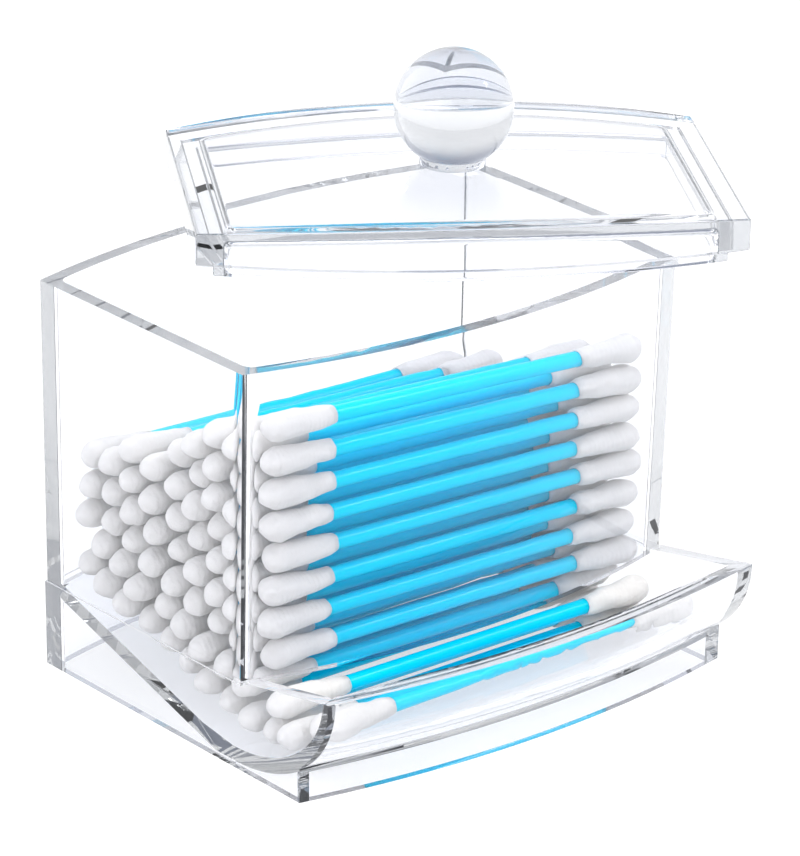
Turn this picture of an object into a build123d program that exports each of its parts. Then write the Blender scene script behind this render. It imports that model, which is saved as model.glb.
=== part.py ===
from build123d import *
from math import atan, cos, degrees, hypot, radians, sin, sqrt, tan
import os

# Clear cotton swab dispenser: a moulded box with a sloping floor and an open tray in front,
# a lift-off lid with a ball knob, and the swabs it holds. Millimetres, +Z up.
# The origin is on the ground, under the middle of the box. The tray is towards -Y, and the
# swabs lie along X.

os.makedirs("parts", exist_ok=True)

# Swabs that the box is made for
swab_length = 74.5
stem_diameter = 2.5
tip_diameter = 4.6

# Box walls, measured at the rim. The swabs lie across the box with room at both ends
wall = 2.4
end_room = 3.35
box_width = swab_length + 2 * (wall + end_room)
box_depth = 49.7
box_height = 64.0
front_bow = 6.3
back_bow = 6.3
draft_angle = 0.7
inner_corner_radius = 2.0

# Foot that the walls stand on. The front wall ends at its top, which leaves the gate open
foot_height = 14.0
foot_step = 0.3
foot_clear = 0.3

# Sloping floor
floor_thickness = 2.4
floor_slope = 16.2

# Tray: a scoop of elliptical section that bows with the front
tray_bow = 4.6
scoop_inset = 3.55
scoop_y = scoop_inset - box_depth / 2
scoop_reach = 20.3
scoop_floor_z = 2.7
scoop_depth = 15.3
tray_wall = 3.0
tray_foot_reach = 17.3
tray_foot_y = scoop_y - tray_foot_reach
rim_corner_rise = 0.6
rim_corner_z = foot_height + rim_corner_rise
rim_slope = 10.5
rim_lift = 0.4
rim_top_z = scoop_floor_z + scoop_depth + rim_lift

# How far a shape that cuts or trims runs past what it cuts: a little, or well clear of it all
past = 1.0
above = box_height * 2


def half_width(z):
    return box_width / 2 - tan(radians(draft_angle)) * (box_height - z)


def half_depth(z):
    return box_depth / 2 - tan(radians(draft_angle)) * (box_height - z)


def bowed_outline(hw, hd):
    # Straight sides, with the front and the back bowed outwards.
    Line((-hw, -hd), (-hw, hd))
    ThreePointArc((-hw, hd), (0, hd + back_bow), (hw, hd))
    Line((hw, hd), (hw, -hd))
    ThreePointArc((hw, -hd), (0, -hd - front_bow), (-hw, -hd))


def wall_section(z, grow=0.0):
    # The outline of the walls at one height, offset outwards by grow.
    with BuildSketch(Plane.XY.offset(z)) as section:
        with BuildLine():
            bowed_outline(half_width(z), half_depth(z))
        make_face()
        if grow:
            offset(amount=grow, kind=Kind.INTERSECTION, mode=Mode.REPLACE)
    return section.sketch


# Inside of the box, open at the top, with rounded upright corners
with BuildPart() as box_inside:
    loft([wall_section(-past, -wall), wall_section(box_height + past, -wall)], ruled=True)
    uprights = [e for e in box_inside.edges() if abs(e.bounding_box().size.Z) > box_height]
    fillet(uprights, inner_corner_radius)

# The tray turns about one upright axis, which gives its bow
tray_front = -scoop_y + scoop_reach + tray_wall
bow_radius = ((box_width / 2) ** 2 + tray_bow**2) / (2 * tray_bow)
bow_axis_y = bow_radius - tray_bow - tray_front
bow_axis = Axis((0, bow_axis_y, 0), (0, 0, 1))


def on_bow(y):
    # A distance in front of the box's corners, carried to the middle of the bow.
    return bow_axis_y - sqrt((bow_axis_y - y) ** 2 + (box_width / 2) ** 2)


scoop_centre_z = scoop_floor_z + scoop_depth
scoop_centre = (on_bow(scoop_y), scoop_centre_z)
outer_reach = scoop_reach + tray_wall
outer_depth = scoop_depth + floor_thickness

# Where the sloping floor runs off the scoop's ellipse
floor_rise = tan(radians(floor_slope))
blend_ratio = floor_rise * scoop_reach / scoop_depth
blend_share = blend_ratio / sqrt(1 + blend_ratio**2)
blend_y = scoop_y + scoop_reach * blend_share
blend_z = scoop_centre_z - scoop_depth * sqrt(1 - blend_share**2)
back_y = box_depth / 2 + back_bow
back_z = blend_z + floor_rise * (back_y - blend_y)


def side_slab(bottom, top, grow):
    # The width of the box over a range of heights, as far forward as the tray can reach.
    faces = []
    for z in (bottom, top):
        with BuildSketch(Plane.XY.offset(z)) as face:
            Rectangle(2 * (half_width(z) + grow), 2 * tray_front + above)
        faces.append(face.sketch)
    return faces


# Space over the floor: it slopes to the front, then runs level into the tray
with BuildPart() as over_floor:
    with BuildSketch(Plane.YZ):
        Polygon(
            (back_y, back_z),
            (blend_y, blend_z),
            (scoop_y, scoop_floor_z),
            (-above, scoop_floor_z),
            (-above, above),
            (back_y, above),
            align=None,
        )
    extrude(amount=box_width, both=True)

# Hollow of the scoop
with BuildPart() as scoop_inside:
    with BuildSketch(Plane.YZ):
        with BuildLine():
            floor_end = (scoop_centre[0], scoop_floor_z)
            front_end = (scoop_centre[0] - scoop_reach, scoop_centre_z)
            EllipticalCenterArc(scoop_centre, scoop_reach, scoop_depth, start_angle=180, arc_size=90)
            Polyline(floor_end, (0, scoop_floor_z), (0, above), (front_end[0], above), front_end)
        make_face()
    revolve(axis=bow_axis, revolution_arc=360)
    loft(side_slab(-past, above + past, -wall), ruled=True, mode=Mode.INTERSECT)

# Block of the foot and the tray
foot_front = on_bow(tray_foot_y)
foot_share = (scoop_centre[0] - foot_front) / outer_reach
foot_meets_z = scoop_centre_z - outer_depth * sqrt(1 - foot_share**2)
foot_arc = 90 - degrees(atan(foot_share / sqrt(1 - foot_share**2)))
outer_front = scoop_centre[0] - outer_reach
with BuildPart() as tray_block:
    with BuildSketch(Plane.YZ):
        with BuildLine():
            EllipticalCenterArc(
                scoop_centre, outer_reach, outer_depth, start_angle=180, arc_size=foot_arc
            )
            Polyline(
                (foot_front, foot_meets_z),
                (foot_front, 0),
                (0, 0),
                (0, rim_top_z),
                (outer_front, rim_top_z),
                (outer_front, scoop_centre_z),
            )
        make_face()
    revolve(axis=bow_axis, revolution_arc=360)
    loft(side_slab(-past, above + past, foot_step), ruled=True, mode=Mode.INTERSECT)

# Hollow under the sloping floor and the scoop
drop = floor_thickness / cos(radians(floor_slope))
under_y = blend_y - (blend_z - drop - foot_clear) / floor_rise
with BuildPart() as under_floor:
    with BuildSketch(Plane.YZ):
        Polygon(
            (back_y, back_z - drop),
            (under_y, foot_clear),
            (-above, foot_clear),
            (-above, -past),
            (back_y, -past),
            align=None,
        )
    extrude(amount=box_width, both=True)
    add(box_inside.part, mode=Mode.INTERSECT)

pocket_front = on_bow(tray_foot_y + wall)
pocket_share = (scoop_centre[0] - pocket_front) / outer_reach
pocket_z = scoop_centre_z - outer_depth * sqrt(1 - pocket_share**2)
pocket_arc = degrees(atan(pocket_share / sqrt(1 - pocket_share**2)))
with BuildPart() as under_scoop:
    with BuildSketch(Plane.YZ):
        with BuildLine():
            EllipticalCenterArc(
                scoop_centre, outer_reach, outer_depth, start_angle=270 - pocket_arc, arc_size=pocket_arc
            )
            Polyline(
                (scoop_centre[0], scoop_centre_z - outer_depth),
                (scoop_centre[0], -past),
                (pocket_front, -past),
                (pocket_front, pocket_z),
            )
        make_face()
    revolve(axis=bow_axis, revolution_arc=360)
    loft(side_slab(-2 * past, above, -wall), ruled=True, mode=Mode.INTERSECT)

# What the moulding leaves open above the floor
with BuildPart() as open_space:
    add(box_inside.part)
    add(scoop_inside.part)
    add(over_floor.part, mode=Mode.INTERSECT)

# Upper walls, open at the bottom and the top
with BuildPart() as upper_walls:
    loft([wall_section(foot_height), wall_section(box_height)], ruled=True)
    add(box_inside.part, mode=Mode.SUBTRACT)

# The moulded box: foot, sloping floor and tray in one piece with the walls
with BuildPart() as box_body:
    loft([wall_section(0, foot_step), wall_section(foot_height, foot_step)], ruled=True)
    add(tray_block.part)
    with BuildSketch(Plane.YZ):
        rim_run = (rim_top_z - rim_corner_z) / tan(radians(rim_slope))
        corner_y = -half_depth(foot_height) - foot_step
        with BuildLine():
            Polyline(
                (corner_y, foot_height),
                (corner_y, rim_corner_z),
                (corner_y - rim_run, rim_top_z),
                (corner_y - rim_run, above),
                (back_y + foot_step + wall, above),
                (back_y + foot_step + wall, foot_height),
                (corner_y, foot_height),
            )
        make_face()
    extrude(amount=box_width, both=True, mode=Mode.SUBTRACT)
    add(open_space.part, mode=Mode.SUBTRACT)
    add(under_floor.part, mode=Mode.SUBTRACT)
    add(under_scoop.part, mode=Mode.SUBTRACT)
    add(upper_walls.part)

box_body.part.label = "box_body"
export_step(box_body.part, "parts/box_body.step")

# Lid: a bowed plate with an arched top, hollow underneath, with a lip that drops into the box.
# It is set down askew, with its lip on the rim of the box.
lid_edge = 5.2
lid_arch = 1.9
lid_skirt = 5.1
lid_top_thickness = 2.6
lid_hollow_radius = 1.2
lip_height = 2.5
lip_clearance = 0.5
lid_turn = -32.2
lid_x = 25.0
lid_y = 8.0

lid_plane = Plane(
    origin=(lid_x, lid_y, box_height + lip_height),
    x_dir=(cos(radians(lid_turn)), sin(radians(lid_turn)), 0),
    z_dir=(0, 0, 1),
)
lid_front = Plane(origin=lid_plane.origin, x_dir=lid_plane.x_dir, z_dir=-lid_plane.y_dir)


def under_arch(lower=0.0):
    # Everything under the arch of the lid's top, or under the same arch set lower.
    hw = box_width
    rise = lid_arch * (hw / (box_width / 2)) ** 2
    crown = lid_edge + lid_arch - lower
    with BuildPart() as arch:
        with BuildSketch(lid_front):
            with BuildLine():
                Polyline((-hw, crown - rise), (-hw, -above), (hw, -above), (hw, crown - rise))
                ThreePointArc((-hw, crown - rise), (0, crown), (hw, crown - rise))
            make_face()
        extrude(amount=box_width, both=True)
    return arch.part


def lid_outline(plane, inset=0.0):
    with BuildSketch(plane) as outline:
        with BuildLine():
            bowed_outline(box_width / 2, box_depth / 2)
        make_face()
        if inset:
            offset(amount=-inset, kind=Kind.INTERSECTION, mode=Mode.REPLACE)
    return outline.sketch


with BuildPart() as lid_hollow:
    add(lid_outline(lid_plane.offset(-lip_height - past), lid_skirt))
    extrude(amount=above)
    upright = [e for e in lid_hollow.edges() if e.bounding_box().size.Z > box_height]
    fillet(upright, inner_corner_radius)
    add(under_arch(lid_top_thickness), mode=Mode.INTERSECT)
    fillet(lid_hollow.edges().group_by(Axis.Z)[-1], lid_hollow_radius)

crown_plane = lid_plane.offset(lid_edge + lid_arch)

# Ball knob with a short collar, bonded into a shallow socket in the lid
ball_diameter = 19.0
ball_rise = 9.1
collar_diameter = 10.6
socket_depth = 0.8
socket_clearance = 0.05

with BuildPart() as lid:
    add(lid_outline(lid_plane))
    extrude(amount=above)
    add(under_arch(), mode=Mode.INTERSECT)
    add(lid_outline(lid_plane.offset(-lip_height), wall + lip_clearance))
    extrude(amount=lip_height)
    add(lid_hollow.part, mode=Mode.SUBTRACT)
    with BuildSketch(crown_plane):
        Circle(collar_diameter / 2 + socket_clearance)
    extrude(amount=-socket_depth, mode=Mode.SUBTRACT)

lid.part.label = "lid"
export_step(lid.part, "parts/lid.step")

ball_radius = ball_diameter / 2
collar_radius = collar_diameter / 2
collar_top = ball_rise - sqrt(ball_radius**2 - collar_radius**2)
knob_plane = Plane(origin=crown_plane.origin, x_dir=lid_plane.x_dir, z_dir=-lid_plane.y_dir)
with BuildPart() as lid_knob:
    with BuildSketch(knob_plane):
        with BuildLine():
            Polyline(
                (0, ball_rise + ball_radius),
                (0, -socket_depth),
                (collar_radius, -socket_depth),
                (collar_radius, collar_top),
            )
            ThreePointArc(
                (collar_radius, collar_top), (ball_radius, ball_rise), (0, ball_rise + ball_radius)
            )
        make_face()
    revolve(axis=Axis(crown_plane.origin, (0, 0, 1)), revolution_arc=360)

lid_knob.part.label = "lid_knob"
export_step(lid_knob.part, "parts/lid_knob.step")

# One swab, along X from its left nose: a stem with cotton wound on each end
tip_length = 13.0
tip_shoulder = 3.2
tip_neck_diameter = 2.9
stem_inset = 3.0
cotton_clearance = 0.02

stem_radius = stem_diameter / 2
tip_radius = tip_diameter / 2
bore_radius = stem_radius + cotton_clearance

with BuildPart() as swab_stem:
    with BuildSketch(Plane.YZ.offset(stem_inset)):
        Circle(stem_radius)
    extrude(amount=swab_length - 2 * stem_inset)

with BuildPart() as left_tip:
    with BuildSketch(Plane.XY):
        with BuildLine():
            EllipticalCenterArc((tip_shoulder, 0), tip_shoulder, tip_radius, start_angle=90, arc_size=90)
            Line((tip_shoulder, tip_radius), (tip_length / 2, tip_radius))
            TangentArc(
                (tip_length / 2, tip_radius), (tip_length, tip_neck_diameter / 2), tangent=(1, 0)
            )
            Polyline(
                (tip_length, tip_neck_diameter / 2),
                (tip_length, bore_radius),
                (stem_inset, bore_radius),
                (stem_inset, 0),
                (0, 0),
            )
        make_face()
    revolve(axis=Axis.X, revolution_arc=360)

with BuildPart() as swab_tips:
    add(left_tip.part)
    with Locations(Location((swab_length, 0, 0), (0, 0, 180))):
        add(left_tip.part)

# Heap of swabs: a column stands along the front wall over the gate, and each of the others
# settles against the floor, the walls or two more. Their right ends lie lower than their left ends
swab_gap = 0.44
looseness = 0.3
fan = 0.08
wall_gap = 0.15
heap_room = 19.0
heap_lean = 0.43
heap_limit = 130
layer_count = 8
tray_swabs = 3
tray_first_reach = 13.0
column_rise = 2.0
slide = 2.2
end_play = 0.4
nose_x = (swab_length + slide) / 2 + end_play
touch_x = nose_x - tip_shoulder
closeness = 1e-6
halvings = 30


def wobble(n):
    # A scatter between -0.5 and 0.5 that is the same each time.
    return (sin(n * 12.9898) * 43758.5453) % 1.0 - 0.5


def room(n):
    # Half of the room that one swab takes up, as some lie more loosely than others.
    return tip_radius + looseness * (wobble(n) + 0.5)


def bow_at(x, bow):
    # How far a bowed wall stands out at a distance from the middle of the box.
    return bow * (1 - (x / (box_width / 2)) ** 2)


def rest_z(y, r):
    # Height of a swab's middle where it lies on the floor or in the scoop. Nothing lies past
    # the scoop's front.
    u = (scoop_y - y - bow_at(touch_x, tray_bow)) / scoop_reach
    if u >= 1:
        return above
    heights = [blend_z + floor_rise * (y - blend_y) + r / cos(atan(floor_rise))]
    if u > 0:
        lean = scoop_depth / scoop_reach * u / sqrt(1 - u**2)
        heights.append(scoop_centre_z - scoop_depth * sqrt(1 - u**2) + r / cos(atan(lean)))
    else:
        lean = (blend_z - scoop_floor_z) / (blend_y - scoop_y)
        heights.append(scoop_floor_z + r)
        heights.append(scoop_floor_z + lean * (y - scoop_y) + r / cos(atan(lean)))
    return max(heights) + wall_gap


def side_y(z, r, bow):
    # Where a swab lies along the inner face of the front or the back wall.
    reach = half_depth(z) - wall - wall_gap
    return reach + min(bow_at(touch_x, bow) - r, bow_at(nose_x, bow) - r / 2)


def front_y(z, r):
    if z + r + wall_gap < foot_height:
        return -above
    return -side_y(z, r, front_bow)


def rear_y(z, r):
    return side_y(z, r, back_bow)


def fits(y, z, r, heap):
    if z < rest_z(y, r) - closeness or y < heap[0][0]:
        return False
    if y < front_y(z, r) - closeness or y > rear_y(z, r) + closeness:
        return False
    return all(hypot(y - c[0], z - c[1]) > r + c[2] + swab_gap - closeness for c in heap)


def seats(r, heap):
    # Every place where a swab of this size would touch two things.
    found = []
    for a in heap:
        reach = r + a[2] + swab_gap
        for side in (front_y, rear_y):
            y = side(a[1] + reach, r)
            if abs(y - a[0]) < reach:
                z = a[1] + sqrt(reach**2 - (y - a[0]) ** 2)
                found.append((side(z, r), z))
        for way in (-1, 1):
            near, far = 0.0, reach
            for step in range(halvings):
                run = (near + far) / 2
                y = a[0] + way * run
                if run**2 + (rest_z(y, r) - a[1]) ** 2 < reach**2:
                    near = run
                else:
                    far = run
            found.append((a[0] + way * far, rest_z(a[0] + way * far, r)))
        for b in heap:
            gap = hypot(b[0] - a[0], b[1] - a[1])
            other = r + b[2] + swab_gap
            if b[0] > a[0] and abs(reach - other) < gap < reach + other:
                along = (reach**2 - other**2 + gap**2) / (2 * gap)
                up = sqrt(reach**2 - along**2)
                uy, uz = (b[0] - a[0]) / gap, (b[1] - a[1]) / gap
                found.append((a[0] + along * uy - up * uz, a[1] + along * uz + up * uy))
    return found


def level(place):
    # The lowest place is filled first, and the front of the heap stands higher than its back.
    return place[1] + heap_lean * place[0]


heap = []
for n in range(tray_swabs):
    y = scoop_y - bow_at(touch_x, tray_bow) - tray_first_reach + n * (tip_diameter + swab_gap)
    heap.append((y, rest_z(y, tip_radius), tip_radius))
z = foot_height + column_rise
while level((front_y(z, tip_radius), z)) < box_height - heap_room:
    r = room(len(heap))
    heap.append((front_y(z, r), z, r))
    z += r + room(len(heap)) + swab_gap
for n in range(len(heap), heap_limit):
    r = room(n)
    places = [p for p in seats(r, heap) if fits(p[0], p[1], r, heap)]
    lowest = min(places, key=level)
    if level(lowest) > box_height - heap_room:
        break
    heap.append((lowest[0], lowest[1], r))

# Each layer of the heap is one node for its stems and one for its cotton
places = []
for n, (y, z, r) in enumerate(heap[:tray_swabs] + sorted(heap[tray_swabs:], key=level)):
    sink = fan * (z - rest_z(y, r))
    run = sqrt(swab_length**2 - sink**2)
    nose = (-run / 2 + slide * wobble(n + 1), y, z)
    places.append(Plane(origin=nose, x_dir=(run, 0, -sink), z_dir=(sink, 0, run)).location)

layers = [("tray", places[:tray_swabs])]
stacked = places[tray_swabs:]
for n in range(layer_count):
    first = len(stacked) * n // layer_count
    last = len(stacked) * (n + 1) // layer_count
    layers.append((f"layer_{n + 1}", stacked[first:last]))

for name, spots in layers:
    with BuildPart() as stems:
        with Locations(*spots):
            add(swab_stem.part)
    with BuildPart() as tips:
        with Locations(*spots):
            add(swab_tips.part)
    stems.part.label = f"swab_stems_{name}"
    tips.part.label = f"swab_tips_{name}"
    export_step(stems.part, f"parts/swab_stems_{name}.step")
    export_step(tips.part, f"parts/swab_tips_{name}.step")
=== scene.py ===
from math import cos, pi, radians, sin

import bmesh
import bpy
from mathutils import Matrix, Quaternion, Vector, noise


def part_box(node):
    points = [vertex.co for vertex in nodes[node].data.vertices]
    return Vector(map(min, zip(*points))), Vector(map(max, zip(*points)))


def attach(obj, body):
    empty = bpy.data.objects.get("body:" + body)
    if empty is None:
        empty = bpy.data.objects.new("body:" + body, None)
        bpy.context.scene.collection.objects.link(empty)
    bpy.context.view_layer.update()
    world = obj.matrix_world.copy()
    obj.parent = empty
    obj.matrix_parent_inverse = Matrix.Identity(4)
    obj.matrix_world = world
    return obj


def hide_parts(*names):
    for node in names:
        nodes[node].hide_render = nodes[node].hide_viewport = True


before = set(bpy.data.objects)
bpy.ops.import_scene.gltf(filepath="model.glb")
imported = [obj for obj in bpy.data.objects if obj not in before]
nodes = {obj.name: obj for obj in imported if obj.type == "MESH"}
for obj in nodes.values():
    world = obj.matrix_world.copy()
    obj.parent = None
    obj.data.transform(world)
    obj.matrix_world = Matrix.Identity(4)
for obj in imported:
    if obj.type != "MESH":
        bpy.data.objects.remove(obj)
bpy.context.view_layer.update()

# Lengths are in metres, apart from those whose names end in _MM.
MM = 0.001

# Box: one injection moulding in clear polystyrene, with the sloping floor, the tray and the
# hollow foot in one piece with the walls. Its edges are broken by about a third of a
# millimetre, as the mould leaves them, and that is what catches the light along each edge.
EDGE_BREAK = 0.3 * MM
EDGE_STEPS = 2
SHARP_FROM = radians(32)
MERGE = 0.002 * MM
FLAT_WITHIN = radians(0.03)
FLATS_WEIGHT = 60
POLYSTYRENE_IOR = 1.59
MOULDED_CLEAR = "F8F9FC"
LAMPLIGHT_THROUGH_WALL = "F4F5F8"
LONG_PATH_TINT = "D1D7DF"
LONG_PATH_DENSITY = 6.0
HAZE_TINT = "F0F2F8"
HAZE_DENSITY = 6.0
SHEEN_SHARE = 0.1
WAVE_HEIGHT_MM = 0.07
WAVE_STRENGTH = 0.25
WAVE_DETAIL = 1.0
WAVE_ROUGHNESS = 0.4
BOX_WAVES_MM = 14
BOX_GREYNESS = 1.0


def linear(hex_colour):
    # An sRGB hex colour as the linear values that a shader takes.
    channels = [int(hex_colour[i : i + 2], 16) / 255 for i in (0, 2, 4)]
    return [c / 12.92 if c <= 0.04045 else ((c + 0.055) / 1.055) ** 2.4 for c in channels] + [1.0]


def grey(share):
    # A plain grey in linear values, from 0 for black to 1 for white.
    return [share] * 3 + [1.0]


def add_node(tree, kind, settings=None, values=None, links=None):
    # One node, with its settings, its socket values and the links that come into it.
    node = tree.nodes.new(kind)
    for name, value in (settings or {}).items():
        setattr(node, name, value)
    for name, value in (values or {}).items():
        node.inputs[name].default_value = value
    for name, source in (links or {}).items():
        tree.links.new(source, node.inputs[name])
    return node


def start_material(name):
    # A new material with nothing in its node tree yet.
    material = bpy.data.materials.new(name)
    material.use_nodes = True
    material.node_tree.nodes.clear()
    return material, material.node_tree


def clear_polystyrene(name, waves_mm, greyness):
    # Clear polystyrene off a polished mould: colourless and bright, with the faint waviness that
    # the melt's flow leaves in the surface and a faint haze inside. It turns lilac grey where light
    # runs along inside it, as at the rims, and greyness says how fast. Lamps reach what is behind
    # it, as through the real wall.
    material, tree = start_material(name)
    place = add_node(tree, "ShaderNodeTexCoord")
    waves = add_node(
        tree, "ShaderNodeTexNoise",
        values={
            "Scale": 1 / (waves_mm * MM), "Detail": WAVE_DETAIL, "Roughness": WAVE_ROUGHNESS,
        },
        links={"Vector": place.outputs["Object"]},
    )
    relief = add_node(
        tree, "ShaderNodeBump",
        values={"Strength": WAVE_STRENGTH, "Distance": WAVE_HEIGHT_MM * MM},
        links={"Height": waves.outputs["Fac"]},
    )
    wall = add_node(
        tree, "ShaderNodeBsdfPrincipled",
        values={
            "Base Color": linear(MOULDED_CLEAR), "Roughness": 0.0, "IOR": POLYSTYRENE_IOR,
            "Transmission Weight": 1.0, "Specular Tint": grey(SHEEN_SHARE),
        },
        links={"Normal": relief.outputs["Normal"]},
    )
    lamp_way = add_node(
        tree, "ShaderNodeBsdfTransparent", values={"Color": linear(LAMPLIGHT_THROUGH_WALL)}
    )
    ray = add_node(tree, "ShaderNodeLightPath")
    both = add_node(
        tree, "ShaderNodeMixShader",
        links={
            0: ray.outputs["Is Shadow Ray"], 1: wall.outputs["BSDF"], 2: lamp_way.outputs["BSDF"],
        },
    )
    depth = add_node(
        tree, "ShaderNodeVolumeAbsorption",
        values={"Color": linear(LONG_PATH_TINT), "Density": LONG_PATH_DENSITY * greyness},
    )
    haze = add_node(
        tree, "ShaderNodeVolumeScatter",
        values={"Color": linear(HAZE_TINT), "Density": HAZE_DENSITY},
    )
    inside = add_node(
        tree, "ShaderNodeAddShader", links={0: depth.outputs["Volume"], 1: haze.outputs["Volume"]}
    )
    add_node(
        tree, "ShaderNodeOutputMaterial",
        links={"Surface": both.outputs["Shader"], "Volume": inside.outputs["Shader"]},
    )
    return material


def merged_copy(node):
    # A mesh to edit, with the node's shape and no doubled points.
    bm = bmesh.new()
    bm.from_mesh(node.data)
    bmesh.ops.remove_doubles(bm, verts=bm.verts, dist=MERGE)
    return bm


def break_edges(bm, width):
    # Rounds the sharp edges of a solid over.
    bmesh.ops.dissolve_limit(bm, angle_limit=FLAT_WITHIN, verts=bm.verts, edges=bm.edges)
    sharp = [e for e in bm.edges if len(e.link_faces) == 2 and e.calc_face_angle() > SHARP_FROM]
    bmesh.ops.bevel(
        bm, geom=sharp, offset=width, segments=EDGE_STEPS, profile=0.5, affect="EDGES",
        material=-1, clamp_overlap=True,
    )


def make_piece(bm, name, material):
    # A smooth object from the edited mesh, which isn't needed after this.
    for face in bm.faces:
        face.smooth = True
    mesh = bpy.data.meshes.new(name)
    bm.to_mesh(mesh)
    bm.free()
    mesh.materials.append(material)
    piece = bpy.data.objects.new(name, mesh)
    bpy.context.scene.collection.objects.link(piece)
    return piece


def keep_flats(piece):
    # Large flat faces keep their own normals, and only the rounded edges turn.
    flats = piece.modifiers.new("flats_stay_flat", "WEIGHTED_NORMAL")
    flats.mode = "FACE_AREA_WITH_ANGLE"
    flats.weight = FLATS_WEIGHT


bm = merged_copy(nodes["box_body"])
break_edges(bm, EDGE_BREAK)
box_plastic = clear_polystyrene("clear_polystyrene_box", BOX_WAVES_MM, BOX_GREYNESS)
box = make_piece(bm, "moulded_box", box_plastic)
keep_flats(box)
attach(box, "box")
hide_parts("box_body")

# Lid: a second clear moulding, a bowed plate with an arched top, hollow underneath, with a lip
# that drops into the box. Here it lies askew, with its lip on the rim. The cement of the knob
# fills the knob's socket, so the lid's top runs on under the knob.
LID_WAVES_MM = 17
LID_GREYNESS = 1.6
SOCKET_RADIUS = 5.35 * MM
SOCKET_MARGIN = 0.1 * MM
knob_low, knob_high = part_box("lid_knob")
knob_axis = (knob_low + knob_high) / 2
bm = merged_copy(nodes["lid"])


def in_socket(vert):
    # Whether a point of the lid lies on the walls or the bottom of the knob's socket.
    from_axis = (vert.co - knob_axis).xy.length
    return from_axis < SOCKET_RADIUS + SOCKET_MARGIN and vert.co.z > knob_low.z - SOCKET_MARGIN


socket = [f for f in bm.faces if all(in_socket(v) for v in f.verts)]
bmesh.ops.delete(bm, geom=socket, context="FACES")
bmesh.ops.holes_fill(bm, edges=[e for e in bm.edges if e.is_boundary], sides=0)
bmesh.ops.delete(bm, geom=[v for v in bm.verts if not v.link_faces], context="VERTS")
lid_crown = max(v.co.z for v in bm.verts)
break_edges(bm, EDGE_BREAK)
lid_plastic = clear_polystyrene("clear_polystyrene_lid", LID_WAVES_MM, LID_GREYNESS)
lid = make_piece(bm, "moulded_lid", lid_plastic)
keep_flats(lid)
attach(lid, "lid")
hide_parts("lid")

# Knob: a solid clear ball on a short collar, cemented into a shallow socket in the lid. The
# cement makes one clear body of the two, so the collar ends just inside the lid's top.
KNOB_WAVES_MM = 9
KNOB_GREYNESS = 3.0
CEMENT_DEPTH = 0.05 * MM
bm = merged_copy(nodes["lid_knob"])
for vert in bm.verts:
    vert.co.z = max(vert.co.z, lid_crown - CEMENT_DEPTH)
bmesh.ops.dissolve_degenerate(bm, dist=MERGE, edges=bm.edges)
knob_plastic = clear_polystyrene("clear_polystyrene_knob", KNOB_WAVES_MM, KNOB_GREYNESS)
knob = make_piece(bm, "ball_knob", knob_plastic)
keep_flats(knob)
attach(knob, "lid")
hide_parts("lid_knob")

# Stems: extruded polypropylene, dyed a bright cyan, glossy and a little translucent. The
# extruder leaves faint streaks that run the length of each stem.
STEM_CYAN = "00CBF4"
STEM_IOR = 1.49
STEM_ROUGHNESS = 0.15
STEM_SHINE = 0.12
STEM_SCATTER = 0.8
STEM_SCATTER_MM = 4.0
STEM_SCATTER_COLOURS = (0.3, 0.9, 1.0)
STREAK_MM = 0.4
STREAK_HEIGHT_MM = 0.02
STREAK_STRENGTH = 0.2
STREAK_DETAIL = 2.0
STRETCH_ALONG_STEM = 0.05
stem_plastic, tree = start_material("dyed_polypropylene_stem")
place = add_node(tree, "ShaderNodeTexCoord")
along = add_node(
    tree, "ShaderNodeMapping",
    values={"Scale": (STRETCH_ALONG_STEM, 1.0, 1.0)},
    links={"Vector": place.outputs["Object"]},
)
streaks = add_node(
    tree, "ShaderNodeTexNoise",
    values={"Scale": 1 / (STREAK_MM * MM), "Detail": STREAK_DETAIL},
    links={"Vector": along.outputs["Vector"]},
)
streak_relief = add_node(
    tree, "ShaderNodeBump",
    values={"Strength": STREAK_STRENGTH, "Distance": STREAK_HEIGHT_MM * MM},
    links={"Height": streaks.outputs["Fac"]},
)
stem = add_node(
    tree, "ShaderNodeBsdfPrincipled",
    values={
        "Base Color": linear(STEM_CYAN), "Roughness": STEM_ROUGHNESS, "IOR": STEM_IOR,
        "Specular IOR Level": STEM_SHINE, "Subsurface Weight": STEM_SCATTER,
        "Subsurface Scale": STEM_SCATTER_MM * MM, "Subsurface Radius": STEM_SCATTER_COLOURS,
    },
    links={"Normal": streak_relief.outputs["Normal"]},
)
add_node(tree, "ShaderNodeOutputMaterial", links={"Surface": stem.outputs["BSDF"]})
for name, node in nodes.items():
    if name.startswith("swab_stems"):
        node.material_slots[0].material = stem_plastic

# Cotton: bleached fibre wound round each end of a stem and pressed to a rounded bud. It is
# matte and soft, with the turns of the winding and loose fibres showing, and no two are alike.
COTTON_WHITE = "D9D7D5"
COTTON_IOR = 1.45
COTTON_ROUGHNESS = 0.95
COTTON_SHINE = 0.1
COTTON_SCATTER = 0.5
COTTON_SCATTER_MM = 1.5
NAP_SHEEN = 0.3
NAP_SHEEN_ROUGHNESS = 0.5
NAP_HEIGHT_MM = 0.2
NAP_STRENGTH = 0.5
FIBRE_MM = 0.35
FIBRE_DETAIL = 3.0
FIBRE_ROUGHNESS = 0.6
FIBRE_DISTORTION = 0.6
WINDING_MM = 0.9
WINDING_DETAIL = 2.0
WINDING_DETAIL_SCALE = 1.5
WINDING_DISTORTION = 3.0
WINDING_SHARE = 0.3
# How wide a band of the wave texture is at a scale of 1.
BAND_AT_SCALE_1 = 0.314
# The width of the lumps and how far they stand out, in millimetres.
LUMPS = ((3.2, 0.38), (1.1, 0.12))
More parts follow.
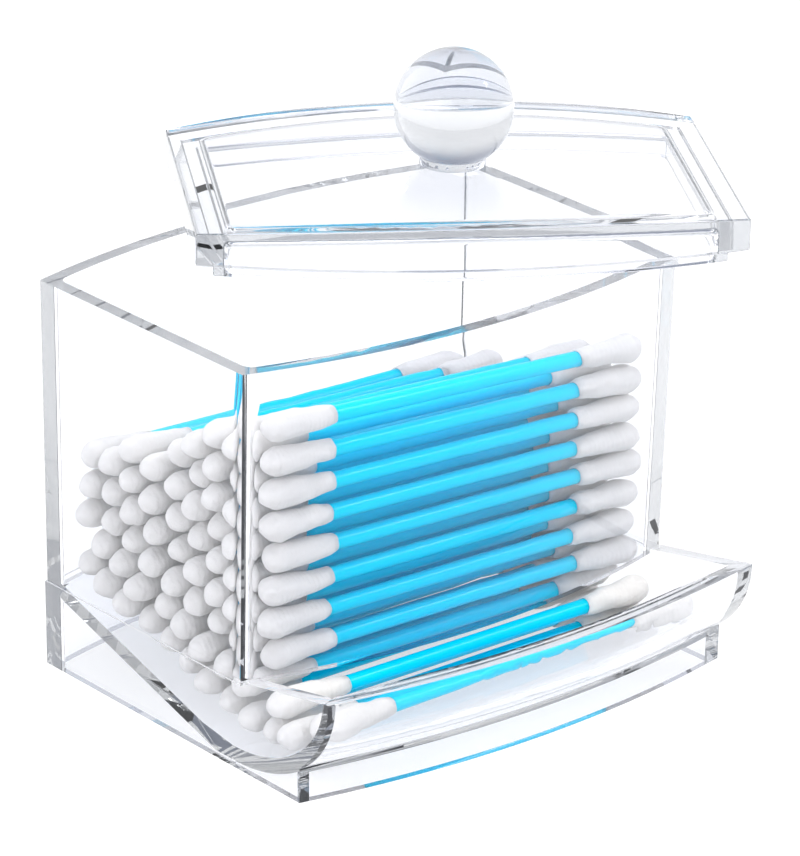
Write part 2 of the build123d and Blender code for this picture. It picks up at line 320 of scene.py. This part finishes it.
# Where along a bud it starts to be drawn in, where that ends, and by what share at most.
TAPER_FROM = 0.3
TAPER_TO = 1.02
TAPER_SHARE = 0.16
cotton, tree = start_material("wound_bleached_cotton")
place = add_node(tree, "ShaderNodeTexCoord")
fibres = add_node(
    tree, "ShaderNodeTexNoise",
    values={
        "Scale": 1 / (FIBRE_MM * MM), "Detail": FIBRE_DETAIL, "Roughness": FIBRE_ROUGHNESS,
        "Distortion": FIBRE_DISTORTION,
    },
    links={"Vector": place.outputs["Object"]},
)
turns = add_node(
    tree, "ShaderNodeTexWave", {"bands_direction": "X"},
    values={
        "Scale": BAND_AT_SCALE_1 / (WINDING_MM * MM), "Distortion": WINDING_DISTORTION,
        "Detail": WINDING_DETAIL, "Detail Scale": WINDING_DETAIL_SCALE,
    },
    links={"Vector": place.outputs["Object"]},
)
wound = add_node(
    tree, "ShaderNodeMix", {"data_type": "FLOAT"},
    values={"Factor": WINDING_SHARE},
    links={"A": fibres.outputs["Fac"], "B": turns.outputs["Fac"]},
)
cotton_relief = add_node(
    tree, "ShaderNodeBump",
    values={"Strength": NAP_STRENGTH, "Distance": NAP_HEIGHT_MM * MM},
    links={"Height": wound.outputs["Result"]},
)
wool = add_node(
    tree, "ShaderNodeBsdfPrincipled",
    values={
        "Base Color": linear(COTTON_WHITE), "Roughness": COTTON_ROUGHNESS, "IOR": COTTON_IOR,
        "Specular IOR Level": COTTON_SHINE, "Subsurface Weight": COTTON_SCATTER,
        "Subsurface Scale": COTTON_SCATTER_MM * MM, "Subsurface Radius": (1.0, 1.0, 1.0),
        "Sheen Weight": NAP_SHEEN, "Sheen Roughness": NAP_SHEEN_ROUGHNESS,
    },
    links={"Normal": cotton_relief.outputs["Normal"]},
)
add_node(tree, "ShaderNodeOutputMaterial", links={"Surface": wool.outputs["BSDF"]})


def separate_buds(bm):
    # The vertices of each bud in a mesh that holds many, in the same order on every run.
    left = dict.fromkeys(bm.verts)
    while left:
        bud = []
        edge_of_bud = [left.popitem()[0]]
        while edge_of_bud:
            vert = edge_of_bud.pop()
            bud.append(vert)
            for link in vert.link_edges:
                other = link.other_vert(vert)
                if other in left:
                    del left[other]
                    edge_of_bud.append(other)
        yield bud


def draw_in(bud):
    # The winding thins out towards the stem, so the bud is fullest near its nose. Its axis is
    # level from front to back, and falls towards one end as its swab does.
    xs = [v.co.x for v in bud]
    middle = sum((v.co for v in bud), Vector()) / len(bud)
    run = sum((x - middle.x) ** 2 for x in xs)
    fall = sum((v.co.x - middle.x) * (v.co.z - middle.z) for v in bud) / run
    nose, neck = (min(xs), max(xs)) if middle.x < 0 else (max(xs), min(xs))
    for vert in bud:
        share = ((vert.co.x - nose) / (neck - nose) - TAPER_FROM) / (TAPER_TO - TAPER_FROM)
        if share > 0:
            axis = Vector((vert.co.x, middle.y, middle.z + fall * (vert.co.x - middle.x)))
            vert.co = axis + (vert.co - axis) * (1 - TAPER_SHARE * sin(pi * share))


for node_name in [n for n in nodes if n.startswith("swab_tips")]:
    bm = merged_copy(nodes[node_name])
    for bud in separate_buds(bm):
        draw_in(bud)
    bm.normal_update()
    outward = [v.normal.copy() for v in bm.verts]
    for vert, normal in zip(bm.verts, outward):
        swell = sum(noise.noise(vert.co / (size * MM)) * height * MM for size, height in LUMPS)
        vert.co += normal * swell
    buds = make_piece(bm, node_name.replace("swab_tips", "cotton_buds"), cotton)
    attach(buds, "box")
    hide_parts(node_name)

# Table: a plain white top that the box stands on, seen as white and still shaded by the box.
# A real foot touches it at a few points only, so a hair of air lies between the two.
TABLE_HALF = 3.0
TABLE_CELLS = 8
HAIR_OF_AIR = 0.05 * MM
TABLE_WHITE = "F2F2F4"
SHADED_SHARE = 0.4
GLOW_WHITE = "FFFFFF"
GLOW_STRENGTH = 0.72
table_mesh = bpy.data.meshes.new("table")
bm = bmesh.new()
bmesh.ops.create_grid(
    bm, x_segments=TABLE_CELLS, y_segments=TABLE_CELLS, size=TABLE_HALF
)
bmesh.ops.translate(bm, verts=bm.verts, vec=(0, 0, -HAIR_OF_AIR))
bm.to_mesh(table_mesh)
bm.free()
table = bpy.data.objects.new("table", table_mesh)
bpy.context.scene.collection.objects.link(table)


def seen_ray(tree):
    # 1 for what the camera sees, straight on or by way of the clear plastic, and 0 for what
    # only lights the other surfaces.
    ray = add_node(tree, "ShaderNodeLightPath")
    through = add_node(
        tree, "ShaderNodeMath", {"operation": "MAXIMUM"},
        links={0: ray.outputs["Is Camera Ray"], 1: ray.outputs["Is Transmission Ray"]},
    )
    return add_node(
        tree, "ShaderNodeMath", {"operation": "MAXIMUM"},
        links={0: through.outputs[0], 1: ray.outputs["Is Glossy Ray"]},
    ).outputs[0]


white_top, tree = start_material("white_table_top")
lit = add_node(tree, "ShaderNodeBsdfDiffuse", values={"Color": linear(TABLE_WHITE)})
part_lit = add_node(tree, "ShaderNodeBsdfDiffuse", values={"Color": grey(SHADED_SHARE)})
glow = add_node(
    tree, "ShaderNodeEmission",
    values={"Color": linear(GLOW_WHITE), "Strength": GLOW_STRENGTH},
)
pale = add_node(
    tree, "ShaderNodeAddShader", links={0: part_lit.outputs[0], 1: glow.outputs[0]}
)
top = add_node(
    tree, "ShaderNodeMixShader",
    links={0: seen_ray(tree), 1: lit.outputs[0], 2: pale.outputs[0]},
)
add_node(tree, "ShaderNodeOutputMaterial", links={"Surface": top.outputs[0]})
table_mesh.materials.append(white_top)

# Studio: white space level with the box, which turns to a lilac grey overhead, so that the
# clear edges that look up have something to show.
SPACE_WHITE = "FFFFFF"
OVERHEAD_GREY = "A0A6B6"
GREY_FROM = 0.2
GREY_FULL = 0.7
SPACE_LIGHT = 1.0
SHOWN_LIGHT = 1.0
LAMPS_AIM = Vector((0, 0, 30 * MM))
# Name, place, width and watts of each lamp.
LAMPS = (
    ("top_lamp", (-0.15, 0.0, 0.9), 0.8, 3.6),
    ("front_lamp", (-0.25, -0.95, 0.45), 0.6, 3.0),
    ("left_lamp", (-0.95, -0.2, 0.4), 0.6, 3.6),
    ("sparkle_lamp", (0.58, -0.45, 0.65), 0.12, 1.2),
)
# The numbers of a mix node's sockets for colours, which share their names with others.
COLOUR_A = 6
COLOUR_B = 7
COLOUR_RESULT = 2
world = bpy.data.worlds.new("studio")
bpy.context.scene.world = world
world.use_nodes = True
tree = world.node_tree
tree.nodes.clear()
way = add_node(tree, "ShaderNodeTexCoord")
parts = add_node(tree, "ShaderNodeSeparateXYZ", links={0: way.outputs["Generated"]})
height = add_node(
    tree, "ShaderNodeMapRange", {"interpolation_type": "SMOOTHSTEP"},
    values={"From Min": GREY_FROM, "From Max": GREY_FULL},
    links={"Value": parts.outputs["Z"]},
)
shade = add_node(
    tree, "ShaderNodeMix", {"data_type": "RGBA"},
    values={COLOUR_A: linear(SPACE_WHITE), COLOUR_B: linear(OVERHEAD_GREY)},
    links={"Factor": height.outputs["Result"]},
)
soft = add_node(
    tree, "ShaderNodeBackground", values={"Color": linear(SPACE_WHITE), "Strength": SPACE_LIGHT}
)
shown = add_node(
    tree, "ShaderNodeBackground",
    values={"Strength": SHOWN_LIGHT},
    links={"Color": shade.outputs[COLOUR_RESULT]},
)
mix = add_node(
    tree, "ShaderNodeMixShader",
    links={0: seen_ray(tree), 1: soft.outputs[0], 2: shown.outputs[0]},
)
add_node(tree, "ShaderNodeOutputWorld", links={"Surface": mix.outputs[0]})


def soft_lamp(name, spot, width, watts):
    # A square soft box that faces the middle of the dispenser.
    data = bpy.data.lights.new(name, "AREA")
    data.shape = "RECTANGLE"
    data.size = width
    data.size_y = width
    data.energy = watts
    lamp = bpy.data.objects.new(name, data)
    lamp.location = spot
    lamp.rotation_euler = (LAMPS_AIM - Vector(spot)).to_track_quat("-Z", "Y").to_euler()
    bpy.context.scene.collection.objects.link(lamp)


for name, spot, width, watts in LAMPS:
    soft_lamp(name, spot, width, watts)

# Light runs far inside clear edges before it comes out, so rays may turn many times. With fewer
# turns the rims and the floor's edge go dark.
MAX_TURNS = 64
MAX_REFLECTIONS = 32
MAX_WALLS_IN_SHADOW = 24
cycles = bpy.context.scene.cycles
cycles.max_bounces = MAX_TURNS
cycles.transmission_bounces = MAX_TURNS
cycles.glossy_bounces = MAX_REFLECTIONS
cycles.transparent_max_bounces = MAX_WALLS_IN_SHADOW

# Camera: a long lens from the front left and a little above, turned a degree about its axis.
CAMERA_AZIMUTH = radians(39.93)
CAMERA_ELEVATION = radians(22.39)
CAMERA_ROLL = radians(1.22)
CAMERA_DISTANCE = 811.7 * MM
CAMERA_LENS = 233.77
SENSOR_WIDTH = 36
CAMERA_MIDDLE = Vector((0, 0, 32 * MM))
AIM_RIGHT = 6.594 * MM
AIM_UP = 4.75 * MM
NEAREST_SEEN = 50 * MM
FARTHEST_SEEN = 20

outwards = Vector((
    -sin(CAMERA_AZIMUTH) * cos(CAMERA_ELEVATION),
    -cos(CAMERA_AZIMUTH) * cos(CAMERA_ELEVATION),
    sin(CAMERA_ELEVATION),
))
right = outwards.cross(Vector((0, 0, -1))).normalized()
up = outwards.cross(right)
turn = Quaternion(outwards, CAMERA_ROLL)
aim = CAMERA_MIDDLE + turn @ (right * AIM_RIGHT + up * AIM_UP)
camera_data = bpy.data.cameras.new("camera")
camera_data.sensor_fit = "HORIZONTAL"
camera_data.sensor_width = SENSOR_WIDTH
camera_data.lens = CAMERA_LENS
camera_data.clip_start = NEAREST_SEEN
camera_data.clip_end = FARTHEST_SEEN
camera = bpy.data.objects.new("camera", camera_data)
camera.location = CAMERA_MIDDLE + outwards * CAMERA_DISTANCE
look = (aim - camera.location).to_track_quat("-Z", "Y")
camera.rotation_euler = (look @ Quaternion((0, 0, 1), CAMERA_ROLL)).to_euler()
bpy.context.scene.collection.objects.link(camera)
bpy.context.scene.camera = camera
bpy.context.scene.view_settings.view_transform = "Standard"
